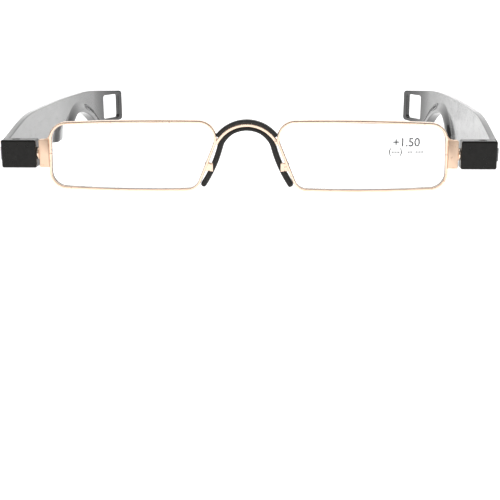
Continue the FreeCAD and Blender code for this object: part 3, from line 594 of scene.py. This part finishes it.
rubber = soft_black()
middle, out = arch((wire_high + cover_high) / 2, cover_turn)
back = np.broadcast_to([0.0, 1.0, 0.0], out.shape)
section = oblong(cover_high - wire_high, 2 * cover_half, 0.36)
grid = clear_of_rim(carried(middle, out, back, section))
piece("bridge_cover_strip", [skin(grid)], rubber, "front",
      ["bridge_cover"], crisp=60)

line = saddle_path()
step = np.gradient(line, axis=0)
gone = np.r_[0, np.cumsum(np.linalg.norm(np.diff(line, axis=0), axis=1))]
step /= np.linalg.norm(step, axis=1, keepdims=True)
to_end = np.minimum(gone, gone[-1] - gone)
leg_share = np.clip((np.abs(line[:, 0]) - band_until) / band_change, 0, 1)
wide = saddle_band + (leg_wide - saddle_band) * leg_share * leg_share * (3 - 2 * leg_share)
cut_back = np.clip(1 - to_end / (wide / 2), 0, 1)
end_round = np.sqrt(np.clip(1 - cut_back**2, 0.0, 1))
deep = saddle_back - saddle_front
section = oblong(1.0, 1.0, 0.24)
sizes = np.stack([wide * end_round, deep * (1 - foot_thin + foot_thin * end_round)], 1)
out = np.stack([-step[:, 1], np.zeros(len(step)), step[:, 0]], 1)
back = np.broadcast_to([0.0, 1.0, 0.0], out.shape)
path = in_xz(line) + [0, (saddle_front + saddle_back) / 2, 0]
grid = clear_of_rim(carried(path, out, back, section * sizes[:, None]))
piece("nose_saddle_pad", [skin(grid)], rubber, "front", ["nose_saddle"],
      crisp=60)
for side, name in SIDES:
    low, high = (np.array(corner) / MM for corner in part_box(f"pad_tab_{name}"))
    x = np.sort(np.abs([low[0], high[0]]))
    x = np.linspace(x[0] - lap_reach, x[1] + 0.1, lap_rows)
    t = np.clip((x - x[0]) / lap_run, 0, 1)
    t = t * t * (3 - 2 * t)
    centre = np.stack([x, lap_y + t * ((low[1] + high[1]) / 2 - lap_y),
                       np.full(lap_rows, (low[2] + high[2]) / 2)], 1)
    deep = lap_thick + t * (high[1] - low[1] - lap_thick)
    sizes = np.stack([deep, np.full(lap_rows, high[2] - low[2])], 1)
    back, up = (np.broadcast_to(axis, (lap_rows, 3)) for axis in np.eye(3)[1:])
    grid = carried(centre, back, up, oblong(1, 1, 0.2) * sizes[:, None])
    piece(f"pad_tab_{name}_strip", [skin(grid)], gold, "front",
          [f"pad_tab_{name}"], side)

# Swivels. A gold collar spaces each hinge block off its tab, and a shouldered steel screw
# with a spring washer holds the block so that it can turn over.

collar_radius, collar_long, screw_radius = 1.75, 0.5, 0.75
for side, name in SIDES:
    ring = chamfered_ring(tab_outer, tab_outer + collar_long, screw_radius, collar_radius, 0.1)
    grid = turned(ring, (0, 0, axis_z), "x")
    piece(f"swivel_collar_{name}_ring", [skin(grid, loop=True)], gold, "front",
          [f"swivel_collar_{name}"], side)
    for part in ("swivel_washer", "swivel_screw"):
        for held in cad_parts[f"{part}_{name}"].material_slots:
            held.material = screw_steel.material

# Hinge blocks. Small die-cast blocks, slotted behind for the temple's knuckle, stoved in
# satin black; the paint is rubbed through to the metal on a few stretches of their edges.

block_middle, block_half = (62.975, 0.0, axis_z), (4.825, 2.3, 3.85)


def stoved_black():
    """Satin black paint with a fine orange peel, thin and bright-edged where it is worn."""
    made = Finish("stoved_black", {"IOR": 1.5, "Specular IOR Level": 0.24})
    peel = made.noise(0.22, 3.0)
    patch = made.noise(1.4, 4.0)
    near = [abs(abs(made.place(axis)) - block_middle[axis]) / block_half[axis]
            if axis == 0 else abs(made.place(axis) - block_middle[axis]) / block_half[axis]
            for axis in range(3)]
    near = [(share ** 26.0) for share in near]
    edge = near[0] * near[1] + near[1] * near[2] + near[0] * near[2]
    worn = edge.above(0.32, 0.3) * patch.above(0.57, 0.1)
    base = made.blend((0.006, 0.006, 0.005), (0.012, 0.011, 0.010), patch.above(0.5, 0.5))
    made.wear(made.blend(base, (0.30, 0.27, 0.23), worn * 0.7),
              0.18 + patch * 0.12 - worn * 0.05, peel - worn * 0.6, 7.0)
    return made


paint = stoved_black()
for side, name in SIDES:
    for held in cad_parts[f"hinge_block_{name}"].material_slots:
        held.material = paint.material

# Hinge pins. Turned steel pins pressed down through the blocks, their flat heads sunk flush
# with the top and their ends peened over below.

pin_x, pin_radius, pin_head_radius, pin_head_thick = 64.0, 0.6, 1.1, 0.5
pin_top, pin_end = axis_z + 3.85, axis_z - 3.85 - 0.3


def dark_steel():
    """Browned steel, dark and slightly rough, brighter where fingers rub the head."""
    made = Finish("browned_steel", {"Metallic": 1.0})
    turning = made.noise(0.16, 2.0)
    rub = made.noise(0.9, 3.0).above(0.55, 0.2)
    colour = made.blend((0.018, 0.017, 0.016), (0.07, 0.066, 0.06), rub)
    made.wear(colour, 0.55 - rub * 0.1 + turning * 0.1, turning, 7.0)
    return made


pin_finish = dark_steel()
pin_profile = [(pin_end, 0), (pin_end, 0.25), (pin_end + 0.08, pin_radius - 0.1),
               (pin_end + 0.2, pin_radius), (pin_top - pin_head_thick, pin_radius),
               (pin_top - pin_head_thick, pin_head_radius - 0.02),
               (pin_top - 0.12, pin_head_radius - 0.02), (pin_top - 0.02, pin_head_radius - 0.12),
               (pin_top, pin_head_radius - 0.3), (pin_top, 0)]
for side, name in SIDES:
    grid = turned(pin_profile, (pin_x, 0, 0), "z")
    piece(f"hinge_pin_{name}_turned", [skin(grid, caps=False)], pin_finish,
          f"block_{name}", [f"hinge_pin_{name}"], side)

# Temples. Wide thin leaves of gloss black plastic, moulded in one piece with the knuckle
# and its elbow: a flared lip arches over the ear behind the middle, and the end is pierced by
# a window with a bar behind it. Three ribs beside the elbow give the fingers a grip.

leaf_half, root_half, tip_half, leaf_high = 0.9, 3.7, 5.6, 7.8
leaf_start = np.array([67.5, 2.65])
runs, turns = np.array([60.0, 46.0, 21.2]), np.radians([-2.5, 0.0, 8.0, 36.0])
leaf_long = runs.sum()
notch_y, notch_z, notch_radii = 87.5, axis_z + 1.2, (10.5, 34.0)
crease_y, crease_z, crease_radii = 89.5, axis_z + 5.0, (20.5, 36.0)
lip_in, lip_wide, edge_round = 1.5, 3.6, 0.32
window_long, end_bar = 9.8, 2.1
window_ends = (leaf_long - end_bar - window_long, leaf_long - end_bar)
window_half, window_corner, tip_corner = 4.6, 1.0, 1.3
knuckle_radius, knuckle_half, elbow_out, elbow_turn, elbow_end = 1.3, 1.85, 68.4, 0.9, 3.4
rib_radius, rib_first, rib_pitch = 0.3, 3.35, 1.2


def gloss_black():
    """Gloss black moulding: soft flow marks, wiping smears and hairline scratches."""
    made = Finish("gloss_black", {"IOR": 1.56, "Coat Weight": 0.6, "Coat Roughness": 0.06,
                                  "Coat IOR": 1.5})
    flow = made.noise(7.0, 2.0, (1, 4, 1))
    smear = made.noise(2.4, 4.0, (1, 2.5, 1))
    hair = made.noise(0.10, 1.0, (1, 60, 1)).above(0.70, 0.06)
    pits = made.noise(0.3, 2.0).above(0.72, 0.06)
    colour = made.blend((0.011, 0.011, 0.012), (0.024, 0.023, 0.023), smear.above(0.55, 0.4))
    made.wear(made.blend(colour, (0.10, 0.10, 0.10), hair * 0.25),
              0.10 + smear.above(0.5, 0.5) * 0.10 + hair * 0.15 + pits * 0.12,
              flow * 0.8 + smear * 0.2 - hair * 0.05 - pits * 0.06, 26.0)
    return made


def leaf_line(s):
    """The leaf's middle line in plan at distances s along it, with its outward direction.

    The turn grows evenly along each run, so a run is an arc of radius R = run / turn gained:
    x falls by R (cos a0 - cos a) and y grows by R (sin a - sin a0), summed over the runs.
    """
    a = np.interp(s, np.r_[0, np.cumsum(runs)], turns)[..., None]
    start, end = turns[:-1], turns[1:]
    radius = runs / (end - start)
    held = np.clip(a, start, end)
    x = leaf_start[0] - np.sum(radius * (np.cos(start) - np.cos(held)), -1)
    y = leaf_start[1] + np.sum(radius * (np.sin(held) - np.sin(start)), -1)
    a = a[..., 0]
    return np.stack([x, y], -1), np.stack([np.cos(a), np.sin(a)], -1)


def half_height(y):
    """Half the leaf's height at y: a swelling cubic, a level run and a tapering cubic."""
    t = np.linspace(0, 1, 200)[:, None]
    blend = np.hstack([(1 - t) ** 3, 3 * t * (1 - t) ** 2, 3 * t**2 * (1 - t), t**3])
    swell = blend @ [[2.65, root_half], [12.98, root_half + 1.5], [22.05, leaf_high - 0.2],
                     [34.0, leaf_high]]
    taper = blend @ [[98.0, leaf_high], [109.0, leaf_high], [117.9, tip_half + 0.8],
                     [130.9, tip_half]]
    rows = np.vstack([swell, taper])
    return np.interp(y, rows[:, 0], rows[:, 1])


def ear_arch(y, at, top, radii):
    """Height of an ear arch: top less R - sqrt(R^2 - d^2), with a radius for each side."""
    away = y - at
    radius = np.where(away < 0, *radii)
    return top - radius + np.sqrt(np.clip(radius**2 - away**2, 0, None))


def leaf_grid():
    """Points over the leaf as distance s and height z, and which cells the window takes.

    Columns crowd round the window, the corners and the tip. Rows run in three bands parted
    by the window's lower and upper edges, and crowd along every edge.
    """
    crowd = np.array([0.0, 0.02, 0.07, 0.15, 0.25, 0.36, 0.5])
    corner = tip_corner * (1 - np.cos(np.radians(np.arange(0, 91, 9))))
    round_in = window_corner * (1 - np.cos(np.radians(np.arange(0, 91, 9))))
    near, far = window_ends
    s = np.r_[np.arange(0, 62, 0.8), np.arange(62, 114, 0.3), np.arange(114, leaf_long, 0.5),
              near - crowd, near + round_in, far + crowd, far - round_in,
              leaf_long - crowd, leaf_long - corner]
    s = np.unique(np.round(s, 5))
    s = s[np.r_[True, np.diff(s) > 0.008] | (s == near) | (s == far) | (s == leaf_long)]
    y = leaf_line(s)[0][:, 1]
    half = half_height(y)
    back = np.clip(tip_corner - (leaf_long - s), 0, tip_corner)
    half = half - tip_corner + np.sqrt(tip_corner**2 - back**2)
    low = np.maximum(axis_z - half, ear_arch(y, notch_y, notch_z, notch_radii))
    inside_arch = np.abs(y - notch_y) < np.where(y < notch_y, *notch_radii)
    low = np.where(inside_arch, low, axis_z - half)
    high = axis_z + half
    steep = np.sqrt(1 + np.gradient(low, s) ** 2)
    depth = np.clip(np.minimum(s - near, far - s), 0, window_corner)
    open_half = window_half - window_corner + np.sqrt(
        window_corner**2 - (window_corner - depth) ** 2)
    held = np.clip(s, near, far)
    share = np.interp(held, s, (axis_z - open_half - low) / (high - low))
    upper = np.interp(held, s, (axis_z + open_half - low) / (high - low))
    a, b = low + share * (high - low), low + upper * (high - low)
    rank = np.linspace(0, 0.42, len(crowd))

    def band(bottom, top, bottom_steep):
        tall = top - bottom
        rise = np.minimum(crowd * bottom_steep[:, None], rank * tall[:, None])
        fall = np.minimum(np.broadcast_to(crowd, rise.shape), rank * tall[:, None])
        mid = bottom + tall / 2
        return np.hstack([bottom[:, None] + rise, mid[:, None], top[:, None] - fall[:, ::-1]])

    level = np.ones(len(s))
    lower, over = band(low, a, steep), band(b, high, level)
    share = np.linspace(0, 1, 42)[1:-1]
    between = a[:, None] + share * (b - a)[:, None]
    z = np.hstack([lower, between, over])
    columns = (s[:-1] >= near - 1e-9) & (s[1:] <= far + 1e-9)
    rows = np.zeros(z.shape[1] - 1, bool)
    rows[lower.shape[1] - 1:lower.shape[1] + between.shape[1]] = True
    hole = columns[:, None] & rows
    return s, z, low, high, steep, hole


def shell(inner, outer, hole):
    """A closed sheet: an inner and an outer grid of points, walled where cells are missing."""
    rows, columns = inner.shape[:2]
    number = np.arange(rows * columns).reshape(rows, columns)
    other = rows * columns
    solid = ~hole
    quads = np.stack([number[:-1, :-1], number[:-1, 1:], number[1:, 1:], number[1:, :-1]], -1)
    kept = quads[solid]
    faces = [kept[:, ::-1], kept + other]
    padded = np.pad(solid, 1)
    for line, edges in (
        (padded[1:, 1:-1] != padded[:-1, 1:-1], (number[:, :-1], number[:, 1:])),
        (padded[1:-1, 1:] != padded[1:-1, :-1], (number[:-1, :], number[1:, :])),
    ):
        first, second = edges[0][line], edges[1][line]
        faces.append(np.stack([first, second, second + other, first + other], -1))
    points = np.concatenate([inner.reshape(-1, 3), outer.reshape(-1, 3)])
    return points, np.vstack(faces).tolist()


def leaf_skins():
    """The leaf with its lip, window and rounded edges, and the elbow, knuckle and ribs.

    At a distance d from the nearest edge, less than r, a face stands r - sqrt(r^2 - (r-d)^2)
    lower, which rounds the edge. The lip flares in by t^2 (3 - 2t) below the crease.
    """
    s, z, low, high, steep, hole = leaf_grid()
    at, out = leaf_line(s)
    y = at[:, 1]
    near, far = window_ends
    q = np.abs(np.stack(np.broadcast_arrays(
        s[:, None] - (near + far) / 2, z - axis_z), -1))
    q -= [(far - near) / 2 - window_corner, window_half - window_corner]
    from_window = (np.linalg.norm(np.maximum(q, 0), axis=-1)
                   + np.minimum(q.max(-1), 0) - window_corner)
    gaps = [(z - low[:, None]) / steep[:, None], high[:, None] - z,
            np.broadcast_to(leaf_long - s[:, None], z.shape), from_window]
    d = np.clip(np.minimum.reduce(gaps), 0, edge_round)
    drop = edge_round - np.sqrt(edge_round**2 - (edge_round - d) ** 2)
    crease = ear_arch(y, crease_y, crease_z, crease_radii)
    crease = np.where(np.abs(y - crease_y) < np.where(y < crease_y, *crease_radii),
                      crease, -99.0)
    t = np.clip((crease[:, None] - z) / lip_wide, 0, 1)
    lip = lip_in * t * t * (3 - 2 * t)
    centre = np.concatenate([np.broadcast_to(at[:, None], (*z.shape, 2)), z[..., None]], -1)
    push = np.concatenate([out, np.zeros((len(out), 1))], -1)[:, None]
    inner = centre - push * (leaf_half - drop + lip)[..., None]
    outer = centre + push * (leaf_half - drop)[..., None]
    skins = [shell(inner, outer, hole)]
    angle = np.radians(np.linspace(90, 270, 17))[:, None]
    barrel = [pin_x, 0] + knuckle_radius * np.hstack([np.cos(angle), np.sin(angle)])
    bend = np.radians(np.linspace(-90, 0, 7))[:, None]
    corner_at = [elbow_out - elbow_turn, -knuckle_radius + elbow_turn]
    outer_bend = corner_at + elbow_turn * np.hstack([np.cos(bend), np.sin(bend)])
    inner_x = elbow_out - 2 * leaf_half
    elbow = np.vstack([barrel, outer_bend, [[elbow_out, elbow_end], [inner_x, elbow_end],
                                            [inner_x, knuckle_radius + 0.3],
                                            [inner_x - 0.3, knuckle_radius]]])
    skins.append(skin(prism(elbow, axis_z - knuckle_half, axis_z + knuckle_half, 0.2, "xy")))
    ring = np.linspace(0, 2 * math.pi, 14, endpoint=False)[:, None]
    for n in range(3):
        rib_y = rib_first + n * rib_pitch
        at, out = leaf_line(rib_y - leaf_start[1])
        round_rib = at + out * leaf_half + rib_radius * np.hstack([np.cos(ring), np.sin(ring)])
        skins.append(skin(prism(round_rib, axis_z - root_half + 0.5, axis_z + root_half - 0.5,
                                0.14, "xy")))
    return skins


plastic = gloss_black()
temple_skins = leaf_skins()
for side, name in SIDES:
    piece(f"temple_{name}_leaf", temple_skins, plastic, f"temple_{name}",
          [f"temple_{name}"], side, crisp=50)

# Pen clip. The right temple doubles as a pocket clip when the glasses are folded: a moulded
# strip with a springy tongue is riveted through its foot to the outer face of the leaf.

clip_thick, clip_half, clip_lift = 0.8, 2.1, 1.3
foot_ends, tongue_ends, bend_long = (8.0, 14.0), (14.2, 54.0), 3.0


def clip_strip(s, offset, half):
    """A strip along the leaf: a rounded section at an offset outside the leaf's middle."""
    at, out = leaf_line(s)
    path = np.concatenate([at + out * offset[:, None], np.full((len(s), 1), axis_z)], -1)
    across = np.concatenate([out, np.zeros((len(s), 1))], -1)
    up = np.broadcast_to([0.0, 0.0, 1.0], across.shape)
    sizes = np.stack([np.full(len(s), clip_thick), 2 * half], 1)
    return carried(path, across, up, oblong(1.0, 1.0, 0.2) * sizes[:, None])


def round_end(to_end, radius):
    """Half width near a rounded end: a circle of the radius given, then the full width."""
    left = np.clip(radius - to_end, 0, radius)
    return clip_half - radius + np.sqrt(radius**2 - left**2)


s = np.sort(np.r_[np.linspace(*foot_ends, 20), foot_ends[0] + np.array([0.02, 0.07, 0.15])])
offset = np.full(len(s), leaf_half + 0.02 + clip_thick / 2)
foot_half = round_end(s - foot_ends[0], 0.9)
piece("pen_clip_foot_strip", [skin(clip_strip(s, offset, foot_half))], plastic,
      "temple_right", ["pen_clip_foot"], crisp=50)

s = np.r_[np.linspace(tongue_ends[0], 20, 24), np.linspace(20.5, tongue_ends[1] - 2.2, 50)]
s = np.r_[s, tongue_ends[1] - 2.0 * np.cos(np.radians(np.linspace(0, 88, 14)))]
t = np.clip((s - tongue_ends[0]) / bend_long, 0, 1)
rise = t * t * (3 - 2 * t)
base = leaf_half + 0.1 + clip_thick / 2
offset = base + (clip_lift - 0.1) * rise
tongue_half = round_end(tongue_ends[1] - s, 2.0)
tongue_skins = [skin(clip_strip(s, offset, tongue_half))]
ring = np.linspace(0, 2 * math.pi, 24, endpoint=False)[:, None]
at, out = leaf_line(tongue_ends[1] - 1.9)
bead = at + out * (leaf_half + clip_lift + 0.22) + 0.7 * np.hstack([np.cos(ring), np.sin(ring)])
tongue_skins.append(skin(prism(bead, axis_z - 1.3, axis_z + 1.3, 0.3, "xy")))
piece("pen_clip_tongue_strip", tongue_skins, plastic, "clip",
      ["pen_clip_tongue"], crisp=50)

low, high = (np.array(corner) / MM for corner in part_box("pen_clip_rivet"))
head = 0.35
rivet = [(low[0], 0), (low[0], 0.6), (high[0] - head, 0.6), (high[0] - head, 1.1),
         (high[0] - head * 0.6, 1.1), (high[0] - head * 0.25, 0.95), (high[0] - 0.03, 0.6),
         (high[0], 0.25), (high[0], 0)]
grid = turned(rivet, (0, (low[1] + high[1]) / 2, (low[2] + high[2]) / 2), "x")
piece("pen_clip_rivet_turned", [skin(grid, caps=False)], screw_steel, "temple_right",
      ["pen_clip_rivet"])

# Studio. A pale paper sweep that curves up behind, soft boxes above and to the sides, and
# the camera a little right of the middle and above, looking down on the lenses.

floor_z = cad_box[0].z / MM
sweep_radius, sweep_front, sweep_flat = 500.0, -1500.0, 900.0
sweep_wide, sweep_tall = 2600.0, 1300.0


def paper():
    """White matt sheet lit from behind, as on a light table, with a barely visible tooth."""
    made = Finish("white_paper", {"Specular IOR Level": 0.1, "Emission Strength": 0.72,
                                  "Emission Color": (1.0, 1.0, 1.0, 1.0)})
    tooth = made.noise(1.2, 4.0)
    made.wear(made.blend((0.93, 0.93, 0.93), (0.96, 0.96, 0.96), tooth), 0.8 + tooth * 0.15,
              tooth, 20.0)
    return made


angle = np.radians(np.linspace(0, 90, 24))
sweep_y = np.r_[sweep_front, sweep_flat + sweep_radius * np.sin(angle),
                sweep_flat + sweep_radius]
sweep_z = np.r_[0, sweep_radius * (1 - np.cos(angle)), sweep_tall]
x = np.linspace(-sweep_wide, sweep_wide, 9)
grid = np.stack(np.broadcast_arrays(x, sweep_y[:, None], floor_z + sweep_z[:, None]), -1) * MM
points, faces = skin(grid, ring=False)
mesh = bpy.data.meshes.new("paper_sweep")
mesh.from_pydata(points.tolist(), [], faces)
mesh.shade_smooth()
mesh.materials.append(paper().material)
sweep = bpy.data.objects.new("paper_sweep", mesh)
bpy.context.scene.collection.objects.link(sweep)

world = bpy.data.worlds.new("studio")
world.use_nodes = True
world.node_tree.nodes["Background"].inputs["Color"].default_value = (1.0, 0.995, 0.985, 1)
world.node_tree.nodes["Background"].inputs["Strength"].default_value = 0.20
bpy.context.scene.world = world
for label, place, aim, width, height, power in (
    ("overhead", (0.0, 0.1, 0.9), (0, 0.05, 0), 1.2, 0.8, 3.5),
    ("front_left", (-0.7, -0.7, 0.55), (0, 0, 0), 0.5, 0.7, 1.5),
    ("front_right", (0.75, -0.6, 0.5), (0, 0, 0), 0.5, 0.7, 1.2),
):
    light = bpy.data.lights.new(label, "AREA")
    light.shape, light.size, light.size_y, light.energy = "RECTANGLE", width, height, power
    lamp = bpy.data.objects.new(label, light)
    bpy.context.scene.collection.objects.link(lamp)
    away = np.array(place) - aim
    lamp.location = place
    lamp.rotation_euler = (
        math.atan2(math.hypot(away[0], away[1]), away[2]), 0,
        math.atan2(away[0], -away[1]))

camera_data = bpy.data.cameras.new("camera")
camera_data.sensor_width, camera_data.lens = 36.0, 67.8
camera_data.clip_start, camera_data.clip_end = 0.01, 20.0
camera = bpy.data.objects.new("camera", camera_data)
bpy.context.scene.collection.objects.link(camera)
camera_at, pitch, yaw, roll = (0.01239, -0.25698, 0.04066), 0.2569, -0.0452, -0.0038
turn = Euler((math.pi / 2 - pitch, 0, -yaw)).to_matrix().to_4x4()
camera.matrix_world = (Matrix.Translation(camera_at) @ turn @ Matrix.Rotation(roll, 4, "Z"))
bpy.context.scene.camera = camera
bpy.context.scene.view_settings.view_transform = "Standard"
